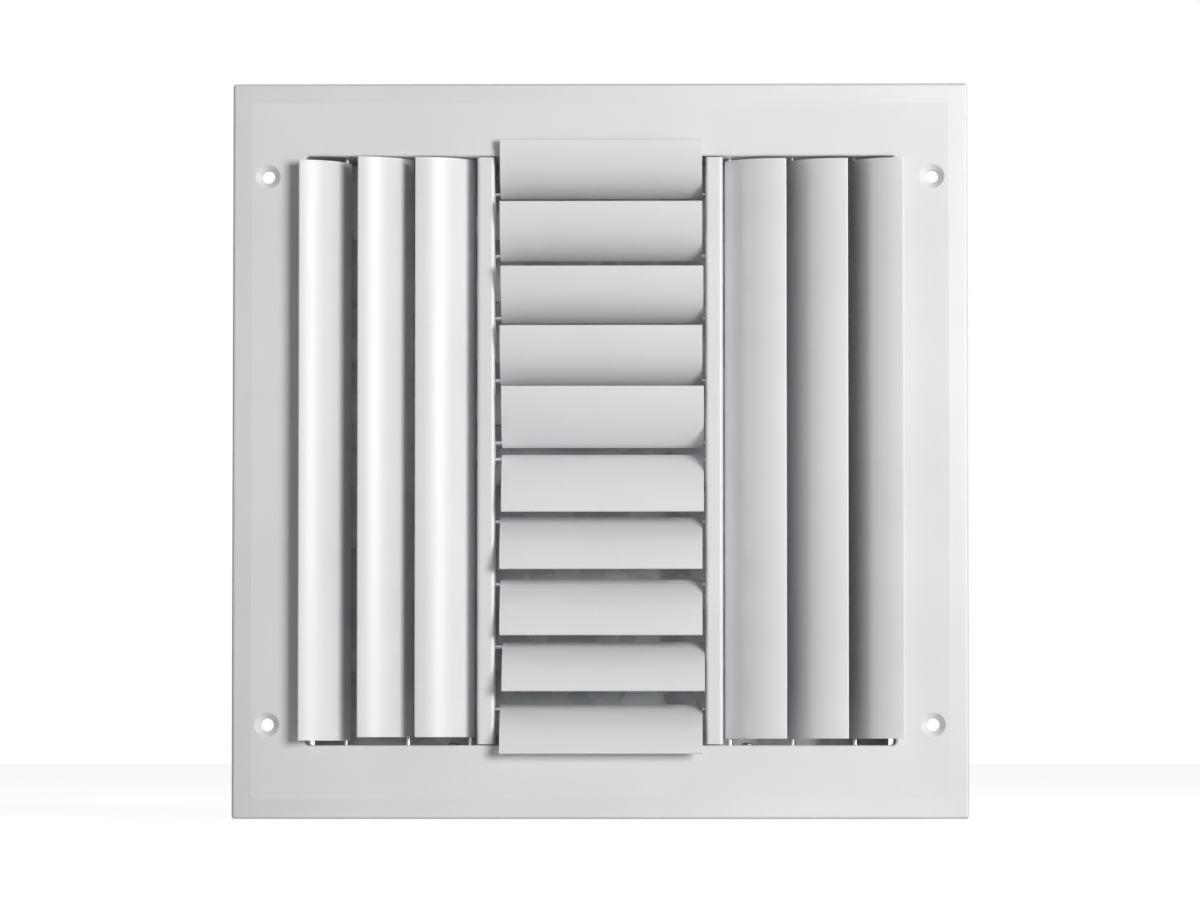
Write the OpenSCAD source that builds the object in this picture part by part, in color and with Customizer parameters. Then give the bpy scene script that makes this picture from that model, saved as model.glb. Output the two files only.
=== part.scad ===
// Sidewall register: a square stamped face for a wall duct, with two channel dividers, upright
// deflecting blades at both sides, level deflecting blades in the middle, and a multi-shutter
// damper behind them. Millimetres. +Z is up, the face looks toward -Y and the wall plane is y = 0.
// The origin is the centre of the four screw holes on the wall plane.

/* [Face] */

// Width of the border from the outer edge to the opening
border_w = 29.75; // [24:0.25:45]
// Height of the face in front of the wall
face_h = 4.5; // [4:0.1:8]
// Sheet thickness of the face, the dividers and the damper box
sheet_t = 0.9; // [0.6:0.1:1.2]
// Outer radius of the turned-down edge
edge_r = 1.6; // [1.3:0.1:2.4]
// Distance from the outer edge to the crease of the bevel
crease_w = 8; // [5:0.5:9]
// Slope of the bevel, degrees
bevel_angle = 11; // [4:0.5:14]
// Radius of the bend where the face turns back into the collar
bend_r = 1.2; // [1.2:0.1:2]
// Corner radius of the collar, air side
collar_corner_r = 1.5; // [1:0.1:4]
// Rear edge of the collar behind the wall plane
collar_back = 26; // [24:0.5:30]

/* [Screw holes] */

// Radius of a screw hole
screw_r = 2.6; // [2:0.1:2.8]
// Radius of the dimple for the screw head, at the face
dimple_r = 4.9; // [4.6:0.1:5.4]
// Distance of a hole from the outer edge of the face
screw_edge = 14.45; // [14:0.05:18]
// Distance of a hole from the level of the opening's edge, toward the middle
screw_inset = 8.25; // [6:0.25:30]

/* [Blades] */

// Distance between neighbouring blade pivots
pitch = 25.4; // [24:0.1:28]
// Distance of the pivots behind the face
pin_depth = 13; // [11:0.5:15]
// Distance from the pivot to the front edge of a blade
blade_reach = 27; // [25:0.1:27.4]
// Outer radius of a blade's curve
blade_r = 25; // [22:0.5:40]
// Thickness of a blade
blade_t = 1.1; // [0.9:0.1:1.3]
// Outer radius of the open tube that holds the pins
boss_r = 2; // [1.9:0.1:2.4]
// Radius of a pivot pin
pin_r = 1.1; // [0.8:0.1:1.2]
// Running clearance of a pin in its hole, radial
pin_clear = 0.05; // [0.03:0.01:0.08]
// Gap between an upright blade's end and the collar
side_end_gap = 1.85; // [1.8:0.05:2.5]
// Gap between a level blade's end and the divider
row_end_gap = 1.75; // [1.7:0.05:2.5]
// Angles at rest of the left blades from the face plane, inner to outer
left_tilt = [34.3, 41.9, 46.7]; // [34:0.1:50]
// Angles at rest of the right blades, inner to outer
right_tilt = [32.0, 33.6, 43.3]; // [32:0.1:50]
// Angles at rest of the upper level blades, inner to outer
up_tilt = [33.2, 36.2, 40.9, 37.6, 38.6];
// Angles at rest of the lower level blades, inner to outer
down_tilt = [36.5, 43.5, 39.3, 47.8, 48.2];
// Upward play taken by the left blades, inner to outer
left_shift = [1.4, 1.4, 0]; // [0:0.1:1.4]
// Upward play taken by the right blades, inner to outer
right_shift = [0.8, 0.8, 0.8]; // [0:0.1:1.4]
// Play toward the right taken by the upper level blades, inner to outer
up_shift = [1.0, 0.4, 0.8, 0.4, 0.4];
// Play toward the right taken by the lower level blades, inner to outer
down_shift = [1.0, 0.4, 0.4, 1.35, 0.4];

/* [Layout] */

// Width of the middle panel between the dividers
centre_w = 85.6; // [70:0.2:120]
// Width of a divider
divider_w = 7; // [6.6:0.1:9]
// Distance from a divider to the nearest upright pivot
side_pin_gap = 2.9; // [2.8:0.1:5]
// Distance from the outermost upright pivot to the collar
side_edge_gap = 16; // [15.5:0.1:20]
// Half the distance between the two middle level pivots
row_half_gap = 3.4; // [3.2:0.1:5]
// Distance from the outermost level pivot to the collar
row_edge_gap = 14.5; // [14.5:0.1:20]

/* [Dividers] */

// How far a divider lies below the face
divider_drop = 0.3; // [0.1:0.1:1]
// Outer radius of a divider's bends
divider_bend_r = 1.4; // [1.3:0.1:2]
// Gap between a divider's web and the collar at each end
divider_end_gap = 0.4; // [0.3:0.1:1]
// Rear edge of the divider's legs behind the wall plane
divider_back = 14; // [12.5:0.5:15]

/* [Damper] */

// Gap between the collar and the damper box around it
box_gap = 0.1; // [0.05:0.05:0.2]
// Front edge of the damper box behind the wall plane
box_front = 18; // [17:0.5:18.5]
// Rear edge of the damper box behind the wall plane
box_back = 52; // [51:0.5:60]
// Distance of the shutter pivots behind the wall plane
shutter_y = 36; // [36:0.5:37]
// Thickness of a shutter
shutter_t = 0.8; // [0.6:0.1:0.9]
// Gap between a shutter's end and the collar
shutter_end_gap = 0.6; // [0.5:0.1:1.2]
// Forward bend of a shutter's lower part, degrees
flap_angle = 10; // [9:0.5:12]
// Radius of a shutter's pivot stubs
stub_r = 1.5; // [1.2:0.1:1.8]
// Distance from a shutter's pivot to its link rivet
ear_reach = 14; // [13.8:0.1:14.2]
// Direction of the ear below straight forward, degrees
ear_angle = 70; // [69:0.5:71]
// Radius of a link rivet
link_pin_r = 1.25; // [1:0.05:1.4]
// Width of the link bar
bar_w = 4.6; // [4:0.1:4.8]
// Thickness of the link bar
bar_t = 1.2; // [0.9:0.1:1.4]

/* [Hidden] */

side_count = 3;
row_count = 5;
shutter_count = 9;
fit = 0.05;
$fn = 48;

// The opening follows from the pivots, and the face from the opening
divider_x = centre_w / 2 + divider_w / 2;
side_x0 = centre_w / 2 + divider_w + side_pin_gap;
open_x = side_x0 + (side_count - 1) * pitch + side_edge_gap;
open_z = row_half_gap + (row_count - 1) * pitch + row_edge_gap;
face_x = open_x + border_w;
face_z = open_z + border_w;
pin_y = pin_depth - face_h;
screw_x = face_x - screw_edge;
screw_z = open_z - screw_inset;
side_len = 2 * (open_z - side_end_gap);
row_len = centre_w - 2 * row_end_gap;

// The blade's curve: its centre seen from the pivot, with the front edge along +x
arc_a = blade_r - boss_r;
arc_b = blade_r - blade_t / 2;
arc_x = (arc_a * arc_a - arc_b * arc_b + blade_reach * blade_reach) / (2 * blade_reach);
arc_y = -sqrt(arc_a * arc_a - arc_x * arc_x);

// Pins reach through the wall in every position that the play allows
pin_grip = 8;
pin_beyond = 1.7;

// Damper: the box goes round the collar, the shutters' spacing is the blades' pitch
box_x = open_x + sheet_t + box_gap;
box_z = open_z + sheet_t + box_gap;
shutter_top = pitch / 2 + 1;
shutter_low = pitch / 2 + 0.7;
shutter_crease = 4.1;
shutter_len = 2 * (open_x - shutter_end_gap);
stub_in = 8;
stub_out = 0.9;
bar_x = -divider_x;
ear_t = 0.8;
ear_gap = 0.3;
ear_x = bar_x - bar_t / 2 - ear_gap - ear_t / 2;
ear_y = -ear_reach * cos(ear_angle);
ear_z = -ear_reach * sin(ear_angle);
eye_r = link_pin_r + 1.55;
notch_top = 10.2;
bar_end = 3.4;
rivet_r = 1.6;
divider_rivet_y = 5;
damper_rivet_y = (box_front + collar_back) / 2;
damper_rivet_x = 1.8 * pitch + 14.3;
stop_x = box_x - collar_corner_r - sheet_t - 0.3;

metal_white = [0.93, 0.94, 0.95];
metal_zinc = [0.72, 0.74, 0.76];

function shutter_z(i) = ((shutter_count + 1) / 2 - i) * pitch;
function side_x(i) = side_x0 + (i - 1) * pitch;
function row_z(i) = row_half_gap + (i - 1) * pitch;

// Helpers

// Rectangle with rounded corners, from half sizes
module round_rect(hx, hz, r) {
    square([2 * (hx - r), 2 * hz], center = true);
    square([2 * hx, 2 * (hz - r)], center = true);
    for (sx = [-1, 1], sz = [-1, 1])
        translate([sx * (hx - r), sz * (hz - r)]) circle(r = r);
}

// Sheet wall round a rectangle, seen from the front
module wall_ring(hx, hz, t, r) {
    difference() {
        round_rect(hx + t, hz + t, r + t);
        round_rect(hx, hz, r);
    }
}

// Puts an outline in x and z, and gives it depth from y0 to y1
module along_y(y0, y1) {
    translate([0, y1, 0]) rotate([90, 0, 0]) linear_extrude(y1 - y0) children();
}

// Puts an outline in y and z, and gives it length in x from x0 to x1
module along_x(x0, x1) {
    translate([x0, 0, 0]) rotate([90, 0, 90]) linear_extrude(x1 - x0) children();
}

// Section (x outward, y toward the room) run along the side that faces angle a
module side_run(a, off, half) {
    rotate([90, 0, 0]) rotate([0, 0, a]) translate([off, half, 0]) rotate([90, 0, 0])
        linear_extrude(2 * half) children();
}

// The same, cut off at 45 degrees at both corners
module mitred_run(a, off, half, d) {
    intersection() {
        side_run(a, off, half) children();
        rotate([90, 0, 0]) rotate([0, 0, a]) translate([0, 0, -1]) linear_extrude(face_h + 2)
            polygon([
                [off + 1, half + 1], [off + 1, -half - 1],
                [off - d, d - half], [off - d, half - d]
            ]);
    }
}

// Two legs of sheet with a bend between them, the outer corner at the origin
module fold(a, b, t, r) {
    translate([r, 0]) square([a - r, t]);
    translate([0, r]) square([t, b - r]);
    intersection() {
        translate([r, r]) difference() {
            circle(r = r);
            circle(r = r - t);
        }
        square([r, r]);
    }
}

// Rivet along z through a stack from 0 to grip, a low dome below and an upset end above
module rivet(r, grip, head_r, head_h, tail_r, tail_h) {
    rotate_extrude() polygon([
        [0, -head_h], [0.6 * head_r, -head_h], [head_r, -0.45 * head_h], [head_r, 0], [r, 0],
        [r, grip], [tail_r, grip], [tail_r, grip + 0.6 * tail_h],
        [0.8 * tail_r, grip + tail_h], [0, grip + tail_h]
    ]);
}

// Face

// Section of the turned-down edge: lip, rounded edge, bevel and the start of the flat
module edge_section() {
    cx = -edge_r;
    cy = face_h - (crease_w - edge_r) * tan(bevel_angle) - edge_r / cos(bevel_angle);
    in_r = edge_r - sheet_t;
    translate([-sheet_t, 0]) square([sheet_t, cy]);
    intersection() {
        translate([cx, cy]) difference() {
            circle(r = edge_r);
            circle(r = in_r);
        }
        polygon([
            [cx, cy], [cx + 3 * edge_r, cy], [cx + 3 * edge_r, cy + 3 * edge_r],
            [cx + 3 * edge_r * tan(bevel_angle), cy + 3 * edge_r]
        ]);
    }
    polygon([
        [cx + edge_r * sin(bevel_angle), cy + edge_r * cos(bevel_angle)],
        [-crease_w, face_h],
        [-crease_w - 1, face_h],
        [-crease_w - 1, face_h - sheet_t],
        [-crease_w - sheet_t * tan(bevel_angle / 2), face_h - sheet_t],
        [cx + in_r * sin(bevel_angle), cy + in_r * cos(bevel_angle)]
    ]);
}

// Quarter of a bend, from the air side round to the front
module bend_section() {
    intersection() {
        difference() {
            circle(r = bend_r);
            circle(r = bend_r - sheet_t);
        }
        translate([-bend_r, 0]) square([bend_r, bend_r]);
    }
}

// Formed dimple with a drawn rim that rests on the wall
module dimple() {
    slope = 2.2 / 2.3;
    low = face_h - (dimple_r - screw_r) * slope;
    run = sqrt(1 + slope * slope) * sheet_t;
    rotate([90, 0, 0]) rotate_extrude() polygon([
        [dimple_r + 0.8, face_h], [dimple_r, face_h], [screw_r, low], [screw_r, 0],
        [screw_r + sheet_t, 0], [screw_r + sheet_t, low + slope * sheet_t - run],
        [dimple_r + (run - sheet_t) / slope, face_h - sheet_t],
        [dimple_r + 0.8, face_h - sheet_t]
    ]);
}

module face_frame() {
    color(metal_white)
    difference() {
        union() {
            intersection() {
                union() {
                    for (a = [0, 180]) mitred_run(a, face_x, face_z, crease_w + 3) edge_section();
                    for (a = [90, 270]) mitred_run(a, face_z, face_x, crease_w + 3) edge_section();
                }
                along_y(-face_h - 1, 1) round_rect(face_x, face_z, 1);
            }
            difference() {
                along_y(-face_h, sheet_t - face_h) difference() {
                    square(2 * [face_x - crease_w - 0.5, face_z - crease_w - 0.5], center = true);
                    round_rect(open_x + bend_r, open_z + bend_r, collar_corner_r + bend_r);
                }
                for (sx = [-1, 1], sz = [-1, 1]) translate([sx * screw_x, 0, sz * screw_z])
                    rotate([90, 0, 0]) cylinder(h = face_h + 1, r = dimple_r + 0.4);
            }
            for (sx = [-1, 1], sz = [-1, 1]) translate([sx * screw_x, 0, sz * screw_z]) dimple();
            for (a = [0, 180])
                side_run(a, open_x, open_z - collar_corner_r)
                    translate([bend_r, face_h - bend_r]) bend_section();
            for (a = [90, 270])
                side_run(a, open_z, open_x - collar_corner_r)
                    translate([bend_r, face_h - bend_r]) bend_section();
            for (q = [[1, 1, 0], [-1, 1, 90], [-1, -1, 180], [1, -1, 270]])
                translate([q[0] * (open_x - collar_corner_r), 0, q[1] * (open_z - collar_corner_r)])
                    rotate([90, 0, 0]) rotate([0, 0, q[2]]) rotate_extrude(angle = 90)
                        translate([collar_corner_r + bend_r, face_h - bend_r]) bend_section();
            along_y(bend_r - face_h, collar_back)
                wall_ring(open_x, open_z, sheet_t, collar_corner_r);
        }
        for (s = [-1, 1], i = [1:side_count]) translate([s * side_x(i), pin_y, 0])
            cylinder(h = 2 * open_z + 20, r = pin_r + pin_clear, center = true);
        for (s = [-1, 1]) translate([s * divider_x, divider_rivet_y, 0])
            cylinder(h = 2 * open_z + 20, r = rivet_r + fit, center = true);
        for (s = [-1, 1]) translate([s * damper_rivet_x, damper_rivet_y, 0])
            cylinder(h = 2 * open_z + 20, r = rivet_r + fit, center = true);
    }
}

// Dividers

// Channel seen from above, the web in front at y = 0
module channel(w, d, t, r) {
    difference() {
        union() {
            translate([-w / 2, r]) square([w, d - r]);
            translate([r - w / 2, 0]) square([w - 2 * r, d]);
            for (s = [-1, 1]) translate([s * (w / 2 - r), r]) circle(r = r);
        }
        translate([t - w / 2, r]) square([w - 2 * t, d]);
        translate([r - w / 2, t]) square([w - 2 * r, d]);
        for (s = [-1, 1]) translate([s * (w / 2 - r), r]) circle(r = r - t);
    }
}

// The outer leg is on the +x side, the pin holes are in the inner leg
module divider() {
    front = divider_drop - face_h;
    foot_front = divider_rivet_y - 4;
    difference() {
        union() {
            translate([0, front, 0])
                linear_extrude(2 * (open_z - divider_end_gap), center = true)
                    channel(divider_w, divider_back - front, sheet_t, divider_bend_r);
            for (m = [0, 1]) mirror([0, 0, m])
                translate([divider_w / 2, foot_front, open_z]) rotate([-90, 180, 0])
                    mirror([0, 1, 0]) linear_extrude(8)
                        fold(divider_w - sheet_t - 0.2, 4, sheet_t, 1.2);
        }
        for (s = [-1, 1], i = [1:row_count])
            translate([-divider_w / 2, pin_y, s * row_z(i)]) rotate([0, 90, 0])
                cylinder(h = 3 * sheet_t, r = pin_r + pin_clear, center = true);
        translate([0, divider_rivet_y, 0])
            cylinder(h = 2 * open_z + 20, r = rivet_r + fit, center = true);
    }
}

module divider_left() {
    color(metal_white) translate([-divider_x, 0, 0]) mirror([1, 0, 0]) divider();
}

module divider_right() {
    color(metal_white) translate([divider_x, 0, 0]) divider();
}

module divider_rivets() {
    color(metal_zinc) for (s = [-1, 1], m = [0, 1]) mirror([0, 0, m])
        translate([s * divider_x, divider_rivet_y, open_z - sheet_t])
            rivet(rivet_r, 2 * sheet_t, 2.4, 1, 2.4, 0.8);
}

// Blades

module blade_section() {
    a1 = atan2(-arc_y, -arc_x);
    a2 = atan2(-arc_y, blade_reach - arc_x);
    far = 3 * blade_r;
    difference() {
        union() {
            intersection() {
                translate([arc_x, arc_y]) difference() {
                    circle(r = blade_r, $fn = 144);
                    circle(r = blade_r - blade_t, $fn = 144);
                }
                polygon([
                    [arc_x, arc_y], [arc_x + far * cos(a1), arc_y + far * sin(a1)],
                    [arc_x + far * cos(a2), arc_y + far * sin(a2)]
                ]);
            }
            translate([blade_reach, 0]) circle(r = blade_t / 2, $fn = 24);
            circle(r = boss_r);
        }
        circle(r = pin_r + 0.02);
        rotate(atan2(arc_y, arc_x)) translate([0, -0.6]) square([boss_r + 0.4, 1.2]);
    }
}

module blade(len, tilt) {
    rotate([0, 0, tilt]) linear_extrude(len, center = true) blade_section();
}

// The pair of pins of one blade, each with a chamfered end
module pin_pair(len, gap) {
    out = gap + sheet_t + pin_beyond;
    for (m = [0, 1]) mirror([0, 0, m]) translate([0, 0, len / 2 - pin_grip]) {
        cylinder(h = pin_grip + out - 0.3, r = pin_r);
        translate([0, 0, pin_grip + out - 0.3]) cylinder(h = 0.3, r1 = pin_r, r2 = pin_r - 0.3);
    }
}

module at_left(i) {
    translate([-side_x(i), pin_y, left_shift[i - 1]]) rotate([0, 0, 180]) children();
}

module at_right(i) {
    translate([side_x(i), pin_y, right_shift[i - 1]]) rotate([180, 0, 0]) children();
}

module at_up(i) {
    translate([up_shift[i - 1], pin_y, row_z(i)]) rotate(a = 180, v = [1, 0, 1]) children();
}

module at_down(i) {
    translate([down_shift[i - 1], pin_y, -row_z(i)]) rotate(a = 180, v = [1, 0, -1]) children();
}

module blade_left(i) {
    color(metal_white) at_left(i) blade(side_len, left_tilt[i - 1]);
}

module blade_right(i) {
    color(metal_white) at_right(i) blade(side_len, right_tilt[i - 1]);
}

module blade_up(i) {
    color(metal_white) at_up(i) blade(row_len, up_tilt[i - 1]);
}

module blade_down(i) {
    color(metal_white) at_down(i) blade(row_len, down_tilt[i - 1]);
}

module pins_left(i) {
    color(metal_zinc) at_left(i) pin_pair(side_len, side_end_gap);
}

module pins_right(i) {
    color(metal_zinc) at_right(i) pin_pair(side_len, side_end_gap);
}

module pins_up(i) {
    color(metal_zinc) at_up(i) pin_pair(row_len, row_end_gap);
}

module pins_down(i) {
    color(metal_zinc) at_down(i) pin_pair(row_len, row_end_gap);
}

// Damper

module damper_frame() {
    color(metal_zinc) difference() {
        along_y(box_front, box_back)
            wall_ring(box_x, box_z, sheet_t, collar_corner_r + sheet_t);
        for (i = [1:shutter_count]) translate([0, shutter_y, shutter_z(i)]) rotate([0, 90, 0])
            cylinder(h = 2 * box_x + 20, r = stub_r + pin_clear, center = true);
        for (s = [-1, 1]) translate([s * damper_rivet_x, damper_rivet_y, 0])
            cylinder(h = 2 * box_z + 20, r = rivet_r + fit, center = true);
    }
}

module damper_rivets() {
    color(metal_zinc) for (s = [-1, 1], m = [0, 1]) mirror([0, 0, m])
        translate([s * damper_rivet_x, damper_rivet_y, open_z])
            rivet(rivet_r, 2 * sheet_t + box_gap, 2.4, 1, 2.4, 0.8);
}

// Angle across the box that the end shutter laps over, welded to the box
module stop_angle_top() {
    color(metal_zinc) translate([0, shutter_y - shutter_t / 2 - 0.4, box_z])
        along_x(-stop_x, stop_x) rotate(180)
            fold(8, box_z - shutter_z(1) - shutter_top + 2.3, sheet_t, 1.2);
}

module stop_angle_bottom() {
    color(metal_zinc) translate([0, shutter_y - 0.8, -box_z])
        along_x(-stop_x, stop_x)
            fold(9, box_z + shutter_z(shutter_count) - shutter_low + 1.9, sheet_t, 1.2);
}

// Ear outline in y and z: a plate from the strip to the eye
module ear() {
    ux = ear_y / norm([ear_y, ear_z + 3.75]);
    uz = (ear_z + 3.75) / norm([ear_y, ear_z + 3.75]);
    difference() {
        union() {
            polygon([
                [0, 1.5], [-0.3, -9], [ear_y - eye_r * uz, ear_z + eye_r * ux],
                [ear_y + eye_r * uz, ear_z - eye_r * ux]
            ]);
            translate([ear_y, ear_z]) circle(r = eye_r);
        }
        translate([ear_y, ear_z]) circle(r = link_pin_r + pin_clear);
    }
}

// Strip with a lower part bent forward, stubs at the ends and an ear for the link
module shutter(i) {
    color(metal_zinc) translate([0, shutter_y, shutter_z(i)]) {
        difference() {
            along_x(-shutter_len / 2, shutter_len / 2) {
                translate([-shutter_t / 2, -shutter_crease])
                    square([shutter_t, shutter_top + shutter_crease]);
                translate([0, -shutter_crease]) circle(r = shutter_t / 2);
                translate([0, -shutter_crease]) rotate(-flap_angle)
                    translate([-shutter_t / 2, shutter_crease - shutter_low])
                        square([shutter_t, shutter_low - shutter_crease]);
            }
            translate([bar_x - 3.7, -6, -notch_top - 8]) cube([6.6, 12, 8]);
        }
        for (m = [0, 1]) mirror([m, 0, 0]) translate([shutter_len / 2 - stub_in, 0, 0])
            rotate([0, 90, 0])
                cylinder(h = stub_in + box_x - shutter_len / 2 + sheet_t + stub_out, r = stub_r);
        along_x(ear_x - ear_t / 2, ear_x + ear_t / 2) ear();
    }
}

// Everything on the link is placed from the ear holes
module link_bar() {
    top = shutter_z(1) + bar_end;
    low = shutter_z(shutter_count) - bar_end;
    color(metal_zinc) translate([0, shutter_y + ear_y, ear_z]) difference() {
        translate([bar_x - bar_t / 2, -bar_w / 2, low]) cube([bar_t, bar_w, top - low]);
        for (i = [1:shutter_count]) translate([bar_x, 0, shutter_z(i)]) rotate([0, 90, 0])
            cylinder(h = 4, r = link_pin_r + 0.02, center = true);
        for (z = lever_rivet_z) translate([bar_x, 0, z]) rotate([0, 90, 0])
            cylinder(h = 4, r = 1.2 + 0.02, center = true);
    }
}

module link_rivets() {
    grip = ear_t + 2 * ear_gap + bar_t;
    color(metal_zinc) for (i = [1:shutter_count])
        translate([ear_x - ear_t / 2 - ear_gap, shutter_y + ear_y, shutter_z(i) + ear_z])
            rotate([0, 90, 0]) rivet(link_pin_r, grip, 2.2, 0.8, 2, 0.6);
}

lever_rivet_z = [-ear_z - 1.5, -ear_z + 4.5];

// Bracket on the free side of the bar, an arm in front of the ears and a finger tab
module damper_lever() {
    t = 0.9;
    face = bar_x + bar_t / 2;
    front = -bar_w / 2 - 1 - t;
    mid = -ear_z + 1.5;
    tab_x = bar_x - 1.65 * pitch;
    color(metal_zinc) translate([0, shutter_y + ear_y, ear_z]) difference() {
        union() {
            translate([face + t, front, mid - 6]) linear_extrude(12) mirror([1, 0, 0])
                fold(6, bar_w / 2 - front - 0.1, t, 1.2);
            translate([tab_x + 3, front, mid - 4]) cube([face - tab_x - 4, t, 8]);
            translate([tab_x, front + t, mid - 4]) linear_extrude(8) mirror([0, 1, 0])
                fold(6, 6.5, t, 1.2);
        }
        for (z = lever_rivet_z) translate([face, 0, z]) rotate([0, 90, 0])
            cylinder(h = 4, r = 1.2 + 0.02, center = true);
    }
}

module lever_rivets() {
    color(metal_zinc) for (z = lever_rivet_z)
        translate([bar_x - bar_t / 2, shutter_y + ear_y, ear_z + z]) rotate([0, 90, 0])
            rivet(1.2, bar_t + 0.9, 1.8, 0.6, 1.8, 0.6);
}

face_frame();
divider_left();
divider_right();
divider_rivets();
for (i = [1:side_count]) blade_left(i);
for (i = [1:side_count]) blade_right(i);
for (i = [1:row_count]) blade_up(i);
for (i = [1:row_count]) blade_down(i);
for (i = [1:side_count]) pins_left(i);
for (i = [1:side_count]) pins_right(i);
for (i = [1:row_count]) pins_up(i);
for (i = [1:row_count]) pins_down(i);
damper_frame();
damper_rivets();
stop_angle_top();
stop_angle_bottom();
for (i = [1:shutter_count]) shutter(i);
link_bar();
link_rivets();
damper_lever();
lever_rivets();
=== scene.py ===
import math

import bmesh
import bpy
from mathutils import Matrix, Vector


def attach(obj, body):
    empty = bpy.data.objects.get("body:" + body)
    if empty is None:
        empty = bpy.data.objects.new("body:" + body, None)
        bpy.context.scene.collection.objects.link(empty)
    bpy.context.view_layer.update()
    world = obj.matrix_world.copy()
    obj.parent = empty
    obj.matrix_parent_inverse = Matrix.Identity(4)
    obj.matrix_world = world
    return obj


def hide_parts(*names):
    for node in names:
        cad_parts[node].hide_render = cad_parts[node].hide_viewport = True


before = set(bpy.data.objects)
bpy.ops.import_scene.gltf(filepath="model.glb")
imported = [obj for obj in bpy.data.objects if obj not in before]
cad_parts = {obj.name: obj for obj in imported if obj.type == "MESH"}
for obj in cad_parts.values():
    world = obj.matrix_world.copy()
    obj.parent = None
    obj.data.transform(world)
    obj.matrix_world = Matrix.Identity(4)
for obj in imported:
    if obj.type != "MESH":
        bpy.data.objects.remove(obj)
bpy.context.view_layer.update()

# Sidewall register. Lengths below are in millimetres, in the part's own frame: +Z up, the face
# toward -Y, the wall plane at y = 0. They repeat the values of part.scad.
MM = 0.001
SHEET = 0.9
FACE_H = 4.5
FACE = 149.25
OPENING = 119.5
CREASE = 8.0
SLOPE = math.radians(11)
EDGE_R = 1.6
COLLAR_BACK = 26.0
SCREW_X, SCREW_Z = 134.8, 111.25
PITCH = 25.4
PIN_Y = 8.5
PIN_HOLE = 1.15
SIDE_X0 = 52.7
ROW_Z0 = 3.4
BLADE_REACH, BLADE_R, BLADE_T = 27.0, 25.0, 1.1
BOSS_R, BOSS_BORE = 2.0, 1.12
SIDE_LEN, ROW_LEN = 235.3, 82.1
DIVIDER_X, DIVIDER_W = 46.3, 7.0
DIVIDER_FRONT, DIVIDER_BACK = -4.2, 14.0
TILT = {
    "left": [34.3, 41.9, 46.7],
    "right": [32.0, 33.6, 43.3],
    "up": [33.2, 36.2, 40.9, 37.6, 38.6],
    "down": [36.5, 43.5, 39.3, 47.8, 48.2],
}
PLAY = {
    "left": [1.4, 1.4, 0.0],
    "right": [0.8, 0.8, 0.8],
    "up": [1.0, 0.4, 0.8, 0.4, 0.4],
    "down": [1.0, 0.4, 0.4, 1.35, 0.4],
}


def mm(*values):
    return tuple(v * MM for v in values)


# Modelling, by hand in object and edit mode


def nothing_selected():
    bpy.ops.object.select_all(action="DESELECT")


def only(piece):
    nothing_selected()
    piece.select_set(True)
    bpy.context.view_layer.objects.active = piece


def named(name):
    piece = bpy.context.object
    piece.name = name
    piece.data.name = name
    return piece


def edit(piece):
    only(piece)
    bpy.ops.object.mode_set(mode="EDIT")


def done():
    bpy.ops.object.mode_set(mode="OBJECT")


def pick(kind, test):
    """Selects what passes the test in edit mode. The test gets a place in mm, its middle, and the part itself."""
    mode = {"verts": "VERT", "edges": "EDGE", "faces": "FACE"}[kind]
    bpy.ops.mesh.select_mode(type=mode)
    bpy.ops.mesh.select_all(action="DESELECT")
    form = bmesh.from_edit_mesh(bpy.context.edit_object.data)
    for part in getattr(form, kind):
        if kind == "verts":
            middle = part.co / MM
        else:
            middle = sum((v.co for v in part.verts), Vector()) / len(part.verts) / MM
        if test(middle, part):
            part.select_set(True)
    form.select_flush_mode()
    bmesh.update_edit_mesh(bpy.context.edit_object.data)


def along(edge, axis):
    a, b = (v.co for v in edge.verts)
    return abs((b - a).normalized()[axis]) > 0.999


def near(a, b, tolerance=0.02):
    return abs(a - b) < tolerance


def modify(piece, kind, **settings):
    only(piece)
    modifier = piece.modifiers.new(kind.lower(), kind)
    for key, value in settings.items():
        setattr(modifier, key, value)
    bpy.ops.object.modifier_apply(modifier=modifier.name)


def cut(piece, cutter):
    modify(piece, "BOOLEAN", operation="DIFFERENCE", solver="EXACT", object=cutter)
    only(cutter)
    bpy.ops.object.delete()


def joined(pieces):
    only(pieces[0])
    for piece in pieces:
        piece.select_set(True)
    bpy.ops.object.join()
    return bpy.context.object


def rods(places, radius, length, axis):
    """A row of thin cylinders as one cutter."""
    turn = {"x": (0, math.pi / 2, 0), "y": (math.pi / 2, 0, 0), "z": (0, 0, 0)}[axis]
    made = []
    for place in places:
        nothing_selected()
        bpy.ops.mesh.primitive_cylinder_add(
            vertices=32, radius=radius * MM, depth=length * MM, location=mm(*place), rotation=turn
        )
        made.append(bpy.context.object)
    return joined(made)


def settle(piece, soft=math.radians(40)):
    """Puts the place of a finished piece in its mesh and shades it: flats stay flat, bends are smooth."""
    only(piece)
    bpy.ops.object.transform_apply(location=True, rotation=True, scale=True)
    bpy.ops.object.shade_smooth_by_angle(angle=soft)
    modify(piece, "WEIGHTED_NORMAL", mode="FACE_AREA", weight=80, keep_sharp=True)


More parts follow.
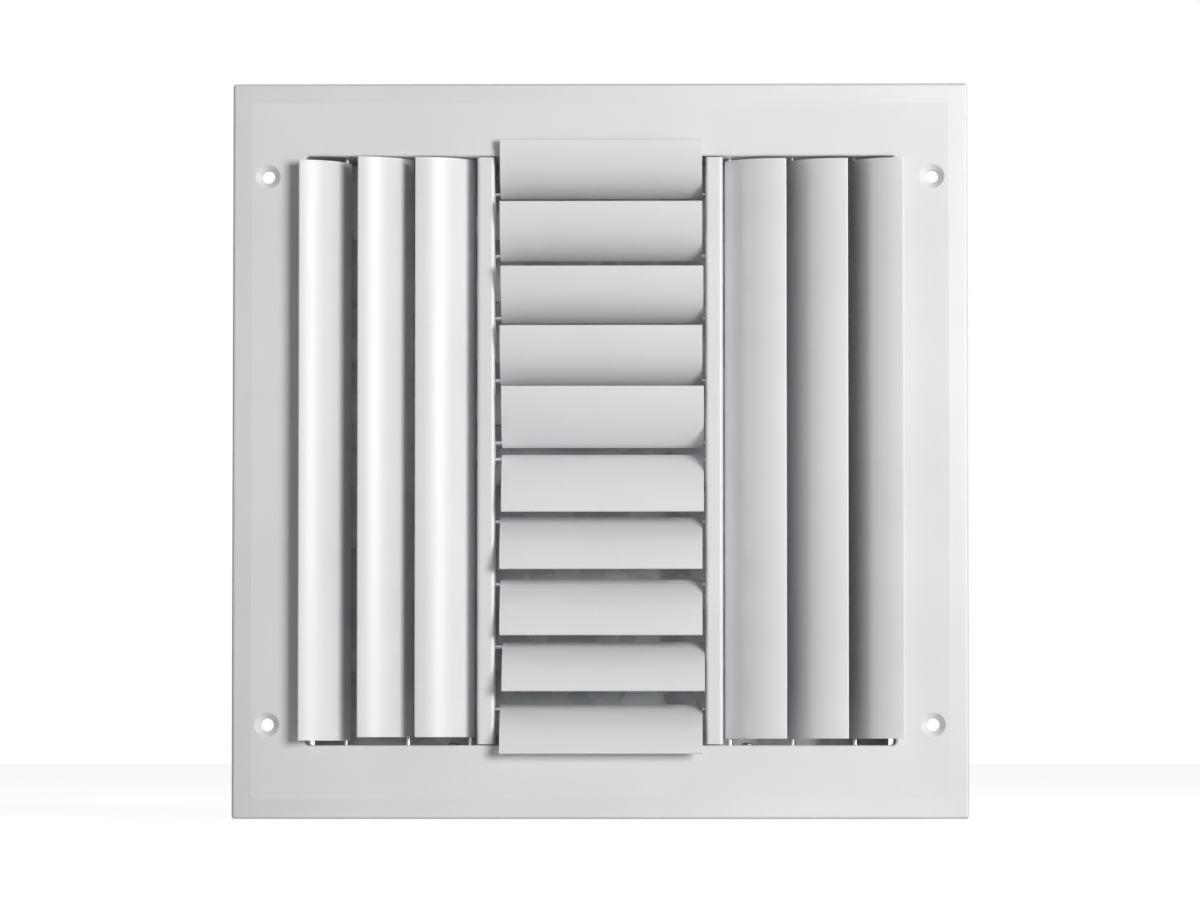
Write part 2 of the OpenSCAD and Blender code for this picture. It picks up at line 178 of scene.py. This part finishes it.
def pressed_face():
    """One sheet: turned-down edge, bevel with mitred corners, flat border, dimples and collar."""
    nothing_selected()
    rise = CREASE * math.tan(SLOPE)
    lip = FACE_H - rise
    bpy.ops.mesh.primitive_cube_add(size=MM, location=mm(0, -lip / 2, 0), scale=(2 * FACE, lip, 2 * FACE))
    face = named("face_sheet")
    bpy.ops.object.transform_apply(location=True, rotation=True, scale=True)
    edit(face)
    pick("faces", lambda m, f: near(m.y, -lip))
    bpy.ops.mesh.extrude_region_move(TRANSFORM_OT_translate={"value": mm(0, -rise, 0)})
    shrink = (FACE - CREASE) / FACE
    bpy.ops.transform.resize(value=(shrink, 1, shrink), center_override=(0, 0, 0))
    # The rounded edge all round, and the outline's corners
    pick("edges", lambda m, e: near(m.y, -lip) or along(e, 1))
    bpy.ops.mesh.bevel(offset=EDGE_R * math.tan((math.pi / 2 - SLOPE) / 2) * MM, segments=6)
    done()
    # The opening, and the four dimples with their drawn rims
    nothing_selected()
    bpy.ops.mesh.primitive_cube_add(size=MM, scale=(2 * OPENING, 40, 2 * OPENING))
    hole = named("opening")
    bpy.ops.object.transform_apply(scale=True)
    edit(hole)
    pick("edges", lambda m, e: along(e, 1))
    bpy.ops.mesh.bevel(offset=1.5 * MM, segments=6)
    done()
    cut(face, hole)
    for sx in (-1, 1):
        for sz in (-1, 1):
            nothing_selected()
            slant = 2.3 / 2.2
            bpy.ops.mesh.primitive_cone_add(
                vertices=64, radius1=(4.9 + 2 * slant) * MM, radius2=2.6 * MM, depth=4.2 * MM,
                location=mm(sx * SCREW_X, -2.3 - 2.1, sz * SCREW_Z), rotation=(-math.pi / 2, 0, 0)
            )
            dimple = named("dimple")
            bpy.ops.object.transform_apply(location=True, rotation=True)
            edit(dimple)
            pick("faces", lambda m, f: near(m.y, -2.3) and len(f.verts) > 8)
            bpy.ops.mesh.extrude_region_move(TRANSFORM_OT_translate={"value": mm(0, 6, 0)})
            done()
            cut(face, dimple)
    # The back is taken off, and the walls of the opening run on as the collar
    edit(face)
    pick("faces", lambda m, f: near(m.y, 0) and abs(f.normal.y) > 0.99)
    bpy.ops.mesh.delete(type="FACE")
    pick("edges", lambda m, e: e.is_boundary and near(m.y, 0) and max(abs(m.x), abs(m.z)) < OPENING + 0.05)
    bpy.ops.mesh.extrude_edges_move(TRANSFORM_OT_translate={"value": mm(0, COLLAR_BACK, 0)})
    # The bend into the collar, the crease, the mitres and the dimples' edges
    rim = OPENING + 0.05
    pick("edges", lambda m, e: near(m.y, -FACE_H) and max(abs(m.x), abs(m.z)) < rim)
    bpy.ops.mesh.bevel(offset=1.2 * MM, segments=6)
    pick("edges", lambda m, e: near(m.y, -FACE_H) and near(max(abs(m.x), abs(m.z)), FACE - CREASE))
    bpy.ops.mesh.bevel(offset=0.3 * MM, segments=2)
    pick("edges", lambda m, e: near(m.y, -FACE_H) and near(math.hypot(abs(m.x) - SCREW_X, abs(m.z) - SCREW_Z), 4.9))
    bpy.ops.mesh.bevel(offset=0.3 * MM, segments=3)
    pick("edges", lambda m, e: near(m.y, -2.3) and math.hypot(abs(m.x) - SCREW_X, abs(m.z) - SCREW_Z) < 2.7)
    bpy.ops.mesh.bevel(offset=0.25 * MM, segments=3)
    done()
    modify(face, "SOLIDIFY", thickness=SHEET * MM, offset=-1, use_even_offset=True)
    holes = [(s * (SIDE_X0 + k * PITCH), PIN_Y, 0) for s in (-1, 1) for k in range(3)]
    cut(face, rods(holes, PIN_HOLE, 260, "z"))
    settle(face)
    return face


def channel(side):
    """Divider: a channel with rounded front edges, a foot folded in at each end, holes for the pins."""
    nothing_selected()
    length = 2 * (OPENING - 0.4)
    depth = DIVIDER_BACK - DIVIDER_FRONT
    x = side * DIVIDER_X
    bpy.ops.mesh.primitive_cube_add(
        size=MM, location=mm(x, DIVIDER_FRONT + depth / 2, 0), scale=(DIVIDER_W, depth, length)
    )
    divider = named("channel_left" if side < 0 else "channel_right")
    bpy.ops.object.transform_apply(location=True, scale=True)
    edit(divider)
    pick("faces", lambda m, f: abs(f.normal.z) > 0.9 or f.normal.y > 0.9)
    bpy.ops.mesh.delete(type="FACE")
    pick("edges", lambda m, e: near(m.y, DIVIDER_FRONT) and along(e, 2))
    bpy.ops.mesh.bevel(offset=1.4 * MM, segments=6)
    for y in (1, 9):
        bpy.ops.mesh.select_all(action="SELECT")
        bpy.ops.mesh.bisect(plane_co=mm(0, y, 0), plane_no=(0, 1, 0))
    outer = x + side * DIVIDER_W / 2
    for end in (-1, 1):
        pick("edges", lambda m, e: near(m.x, outer) and near(m.y, 5) and near(m.z, end * length / 2))
        bpy.ops.mesh.extrude_edges_move(TRANSFORM_OT_translate={"value": mm(0, 0, end * 0.4)})
        bpy.ops.mesh.extrude_edges_move(TRANSFORM_OT_translate={"value": mm(-side * 5.9, 0, 0)})
        pick("edges", lambda m, e: near(m.x, outer) and near(m.y, 5) and near(m.z, end * OPENING))
        bpy.ops.mesh.bevel(offset=0.39 * MM, segments=3)
    bpy.ops.mesh.select_all(action="SELECT")
    bpy.ops.mesh.normals_make_consistent(inside=False)
    done()
    modify(divider, "SOLIDIFY", thickness=SHEET * MM, offset=-1, use_even_offset=True)
    holes = [(x - side * DIVIDER_W / 2, PIN_Y, s * (ROW_Z0 + k * PITCH)) for s in (-1, 1) for k in range(5)]
    cut(divider, rods(holes, PIN_HOLE, 3, "x"))
    cut(divider, rods([(x, 5, 0)], 1.65, 260, "z"))
    modify(divider, "BEVEL", width=0.12 * MM, segments=2, limit_method="ANGLE", angle_limit=math.radians(60))
    settle(divider)
    return divider


def arc_centre():
    a, b = BLADE_R - BOSS_R, BLADE_R - BLADE_T / 2
    x = (a * a - b * b + BLADE_REACH**2) / (2 * BLADE_REACH)
    return x, -math.sqrt(a * a - x * x)


def curved_strip(name, length, centre, radius, start, sweep, steps):
    """A strip spun from one long edge round an upright axis, angles in radians."""
    nothing_selected()
    bpy.ops.mesh.primitive_plane_add(size=length * MM, rotation=(0, math.pi / 2, 0))
    strip = named(name)
    bpy.ops.object.transform_apply(rotation=True)
    edit(strip)
    pick("verts", lambda m, v: m.y > 0)
    bpy.ops.mesh.delete(type="VERT")
    bpy.ops.mesh.select_all(action="SELECT")
    spot = (centre[0] + radius * math.cos(start), centre[1] + radius * math.sin(start) + length / 2)
    bpy.ops.transform.translate(value=mm(spot[0], spot[1], 0))
    bpy.ops.mesh.spin(steps=steps, angle=sweep, center=mm(centre[0], centre[1], 0), axis=(0, 0, -1))
    done()
    return strip


def plain_blade(name, length):
    """Extruded blade on its pivot at the origin, its front edge along +X, before it is tilted."""
    cx, cy = arc_centre()
    start = math.atan2(-cy, -cx)
    end = math.atan2(-cy, BLADE_REACH - cx)
    blade = curved_strip(name, length, (cx, cy), BLADE_R - BLADE_T / 2, start, end - start, 28)
    modify(blade, "SOLIDIFY", thickness=BLADE_T * MM, offset=0, use_even_offset=True)
    edit(blade)
    tip = Vector((BLADE_REACH, 0))
    pick("edges", lambda m, e: along(e, 2) and (m.xy - tip).length < BLADE_T / 2 + 0.1)
    bpy.ops.mesh.bevel(offset=0.48 * MM, segments=5)
    done()
    slot = math.atan2(cy, cx)
    gap = 2 * math.asin(0.6 / 1.56)
    wall = BOSS_R - BOSS_BORE
    tube = curved_strip("boss", length, (0, 0), BOSS_R - wall / 2, slot + gap / 2, 2 * math.pi - gap, 30)
    modify(tube, "SOLIDIFY", thickness=wall * MM, offset=0, use_even_offset=True)
    blade = joined([blade, tube])
    edit(blade)
    bpy.ops.mesh.select_all(action="SELECT")
    bpy.ops.mesh.normals_make_consistent(inside=False)
    done()
    modify(blade, "BEVEL", width=0.14 * MM, segments=2, limit_method="ANGLE", angle_limit=math.radians(60))
    only(blade)
    bpy.ops.object.shade_smooth_by_angle(angle=math.radians(40))
    return blade


def blade_place(side, number):
    tilt = Matrix.Rotation(math.radians(TILT[side][number - 1]), 4, "Z")
    play = PLAY[side][number - 1]
    step = (number - 1) * PITCH
    turn, spot = {
        "left": (Matrix.Rotation(math.pi, 4, "Z"), (-SIDE_X0 - step, PIN_Y, play)),
        "right": (Matrix.Rotation(math.pi, 4, "X"), (SIDE_X0 + step, PIN_Y, play)),
        "up": (Matrix.Rotation(math.pi, 4, Vector((1, 0, 1))), (play, PIN_Y, ROW_Z0 + step)),
        "down": (Matrix.Rotation(math.pi, 4, Vector((1, 0, -1))), (play, PIN_Y, -ROW_Z0 - step)),
    }[side]
    return Matrix.Translation(mm(*spot)) @ turn @ tilt


def placed_copy(plain, side, number):
    only(plain)
    bpy.ops.object.duplicate(linked=False)
    blade = named(f"vane_{side}_{number}")
    blade.matrix_world = blade_place(side, number)
    settle(blade)
    return blade


# Finishes


def tint(code):
    """sRGB hex to linear colour."""
    parts = [int(code[i:i + 2], 16) / 255 for i in (1, 3, 5)]
    return tuple(c / 12.92 if c <= 0.04045 else ((c + 0.055) / 1.055) ** 2.4 for c in parts) + (1.0,)


def add(tree, kind, settings=None, links=None):
    node = tree.nodes.new(kind)
    for key, value in (settings or {}).items():
        if isinstance(key, int) or key in node.inputs:
            node.inputs[key].default_value = value
        else:
            setattr(node, key, value)
    for socket, source in (links or {}).items():
        tree.links.new(source, node.inputs[socket])
    return node


def blank(name):
    material = bpy.data.materials.new(name)
    material.use_nodes = True
    material.node_tree.nodes.clear()
    return material, material.node_tree


def ramp(tree, source, stops):
    node = add(tree, "ShaderNodeValToRGB", {}, {"Fac": source})
    marks = node.color_ramp.elements
    while len(marks) < len(stops):
        marks.new(0.5)
    for mark, (position, colour) in zip(marks, stops):
        mark.position = position
        mark.color = colour
    return node.outputs["Color"]


def grey(value):
    return (value, value, value, 1.0)


def satin_enamel(name, grain=None):
    """Baked satin enamel, sprayed: an even cool white with a soft sheen. A faint orange peel breaks the
    highlights, the film is a trace thinner in places, and extruded blades keep faint lines of the die
    under it, along their length."""
    material, tree = blank(name)
    place = add(tree, "ShaderNodeTexCoord").outputs["Object"]
    # Clouds of film thickness, about 60 mm across
    film = add(tree, "ShaderNodeTexNoise", {"Scale": 1 / 0.06, "Detail": 2.0}, {"Vector": place})
    colour = ramp(tree, film.outputs["Fac"], [(0.35, tint("#E8E9EB")), (0.65, tint("#ECEDEF"))])
    # Orange peel, 1.6 mm from crest to crest
    peel = add(tree, "ShaderNodeTexNoise", {"Scale": 1 / 0.0016, "Detail": 1.5}, {"Vector": place})
    height = peel.outputs["Fac"]
    if grain:
        stretched = add(tree, "ShaderNodeMapping", {"Scale": grain}, {"Vector": place})
        # Die lines, 1.2 mm apart across the blade
        lines = add(
            tree, "ShaderNodeTexNoise", {"Scale": 1 / 0.0012, "Detail": 2.0}, {"Vector": stretched.outputs["Vector"]}
        )
        height = add(
            tree, "ShaderNodeMath", {"operation": "ADD"}, {0: height, 1: lines.outputs["Fac"]}
        ).outputs["Value"]
    bump = add(tree, "ShaderNodeBump", {"Strength": 0.35, "Distance": 0.00002}, {"Height": height})
    sheen = ramp(tree, film.outputs["Fac"], [(0.3, grey(0.34)), (0.7, grey(0.4))])
    shader = add(
        tree, "ShaderNodeBsdfPrincipled", {"IOR": 1.5, "Metallic": 0.0},
        {"Base Color": colour, "Roughness": sheen, "Normal": bump.outputs["Normal"]}
    )
    add(tree, "ShaderNodeOutputMaterial", {}, {"Surface": shader.outputs["BSDF"]})
    return material


def bright_zinc():
    """Bright zinc plate on turned steel: a clear, slightly bluish metal with fine turning marks round it."""
    material, tree = blank("bright_zinc_plate")
    place = add(tree, "ShaderNodeTexCoord").outputs["Object"]
    marks = add(tree, "ShaderNodeTexNoise", {"Scale": 1 / 0.0004, "Detail": 2.0}, {"Vector": place})
    finish = ramp(tree, marks.outputs["Fac"], [(0.3, grey(0.2)), (0.7, grey(0.32))])
    shader = add(
        tree, "ShaderNodeBsdfPrincipled", {"Base Color": tint("#D3D6DA"), "Metallic": 1.0},
        {"Roughness": finish}
    )
    add(tree, "ShaderNodeOutputMaterial", {}, {"Surface": shader.outputs["BSDF"]})
    return material


def galvanised(name, light, dark):
    """Hot-dip galvanised sheet: grey zinc with flat crystals (spangle) of some 9 mm, each a little
    lighter or darker and glossier or duller than the next, and a fine rolled tooth over them."""
    material, tree = blank(name)
    place = add(tree, "ShaderNodeTexCoord").outputs["Object"]
    warp = add(tree, "ShaderNodeTexNoise", {"Scale": 1 / 0.006, "Detail": 3.0}, {"Vector": place})
    bent = add(
        tree, "ShaderNodeVectorMath", {"operation": "MULTIPLY_ADD", 1: (0.002, 0.002, 0.002)},
        {0: warp.outputs["Color"], 2: place}
    )
    crystal = add(
        tree, "ShaderNodeTexVoronoi", {"Scale": 1 / 0.009}, {"Vector": bent.outputs["Vector"]}
    )
    split = add(tree, "ShaderNodeSeparateColor", {}, {"Color": crystal.outputs["Color"]})
    colour = ramp(tree, split.outputs["Red"], [(0.0, tint(dark)), (1.0, tint(light))])
    finish = ramp(tree, split.outputs["Green"], [(0.0, grey(0.34)), (1.0, grey(0.52))])
    tooth = add(tree, "ShaderNodeTexNoise", {"Scale": 1 / 0.0007, "Detail": 2.0}, {"Vector": place})
    bump = add(
        tree, "ShaderNodeBump", {"Strength": 0.3, "Distance": 0.00001}, {"Height": tooth.outputs["Fac"]}
    )
    shader = add(
        tree, "ShaderNodeBsdfPrincipled", {"Metallic": 0.85},
        {"Base Color": colour, "Roughness": finish, "Normal": bump.outputs["Normal"]}
    )
    add(tree, "ShaderNodeOutputMaterial", {}, {"Surface": shader.outputs["BSDF"]})
    return material


def dress(piece, material):
    if not piece.data.materials:
        piece.data.materials.append(material)
    for spot in piece.material_slots:
        spot.material = material


# The register: each piece is made, finished and given to its body

border_enamel = satin_enamel("baked_enamel_on_sheet")
upright_enamel = satin_enamel("baked_enamel_on_upright_extrusion", grain=(1, 1, 0.02))
level_enamel = satin_enamel("baked_enamel_on_level_extrusion", grain=(0.02, 1, 1))
pin_zinc = bright_zinc()
sheet_zinc = galvanised("galvanised_sheet", "#C3C7C9", "#A9ADB0")
rivet_zinc = galvanised("dull_zinc_rivet", "#B9BCBE", "#A4A8AA")

face = pressed_face()
dress(face, border_enamel)
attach(face, "register")
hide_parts("face_frame")

for side in (-1, 1):
    divider = channel(side)
    dress(divider, border_enamel)
    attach(divider, "register")
    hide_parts("divider_left" if side < 0 else "divider_right")

for length, sides, enamel in (
    (SIDE_LEN, ("left", "right"), upright_enamel),
    (ROW_LEN, ("up", "down"), level_enamel),
):
    plain = plain_blade("plain_blade", length)
    dress(plain, enamel)
    for side in sides:
        for number in range(1, len(TILT[side]) + 1):
            blade = placed_copy(plain, side, number)
            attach(blade, f"{side}_{number}")
            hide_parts(f"blade_{side}_{number}")
    only(plain)
    bpy.ops.object.delete()

for name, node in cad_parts.items():
    if name.startswith("pins_"):
        dress(node, pin_zinc)
    elif name.endswith("_rivets"):
        dress(node, rivet_zinc)
    elif name.startswith(("damper_", "stop_", "shutter_", "link_")):
        dress(node, sheet_zinc)

# Floor, light and camera


def studio_floor():
    nothing_selected()
    bpy.ops.mesh.primitive_plane_add(size=14, location=(0, 0, (-FACE - 0.6) * MM))
    floor = named("floor")
    material, tree = blank("white_floor")
    rays = add(tree, "ShaderNodeLightPath")
    lift = add(tree, "ShaderNodeEmission", {"Color": grey(1.0), "Strength": 0.9})
    nothing = add(tree, "ShaderNodeEmission", {"Color": grey(0.0), "Strength": 0.0})
    seen = add(
        tree, "ShaderNodeMixShader", {},
        {"Fac": rays.outputs["Is Camera Ray"], 1: nothing.outputs["Emission"], 2: lift.outputs["Emission"]}
    )
    matt = add(tree, "ShaderNodeBsdfDiffuse", {"Color": grey(0.8)})
    both = add(tree, "ShaderNodeAddShader", {}, {0: seen.outputs["Shader"], 1: matt.outputs["BSDF"]})
    add(tree, "ShaderNodeOutputMaterial", {}, {"Surface": both.outputs["Shader"]})
    dress(floor, material)


def white_surround(level):
    world = bpy.data.worlds.new("studio")
    bpy.context.scene.world = world
    world.use_nodes = True
    tree = world.node_tree
    tree.nodes.clear()
    rays = add(tree, "ShaderNodeLightPath")
    shiny = add(
        tree, "ShaderNodeMath", {"operation": "MAXIMUM"},
        {0: rays.outputs["Is Camera Ray"], 1: rays.outputs["Is Glossy Ray"]}
    )
    clear = add(
        tree, "ShaderNodeMath", {"operation": "MAXIMUM"},
        {0: shiny.outputs["Value"], 1: rays.outputs["Is Transmission Ray"]}
    )
    seen = add(tree, "ShaderNodeBackground", {"Color": grey(1.0), "Strength": 1.0})
    light = add(tree, "ShaderNodeBackground", {"Color": grey(1.0), "Strength": level})
    mix = add(
        tree, "ShaderNodeMixShader", {},
        {"Fac": clear.outputs["Value"], 1: light.outputs["Background"], 2: seen.outputs["Background"]}
    )
    add(tree, "ShaderNodeOutputWorld", {}, {"Surface": mix.outputs["Shader"]})


def softbox(name, azimuth, elevation, distance, width, height, watts):
    """Azimuth 0 is in front of the face, positive to the right; angles in degrees, lengths in metres."""
    a, e = math.radians(azimuth), math.radians(elevation)
    spot = Vector((math.sin(a) * math.cos(e), -math.cos(a) * math.cos(e), math.sin(e))) * distance
    nothing_selected()
    bpy.ops.object.light_add(type="AREA", location=spot)
    light = bpy.context.object
    light.name = name
    light.data.shape = "RECTANGLE"
    light.data.size = width
    light.data.size_y = height
    light.data.energy = watts
    light.rotation_euler = (-spot).to_track_quat("-Z", "Y").to_euler()


studio_floor()
white_surround(0.05)
softbox("key_right", 36, 8, 1.8, 0.7, 0.7, 26)
softbox("fill_left", -75, 8, 1.8, 0.7, 0.7, 3.5)

# The camera stands a little to the right and low, 2.5 m away, and is aimed at the middle
nothing_selected()
bpy.ops.object.camera_add(location=mm(35, -2504.5, -119))
camera = bpy.context.object
camera.name = "camera"
camera.data.sensor_width = 36
camera.data.lens = 185.3
camera.data.clip_end = 50
aim = (Vector(mm(0, -4.5, 0)) - camera.location).to_track_quat("-Z", "Y")
camera.rotation_euler = (aim.to_matrix() @ Matrix.Rotation(math.radians(0.0), 3, "Z")).to_euler()
bpy.context.scene.camera = camera
bpy.context.scene.view_settings.view_transform = "Standard"
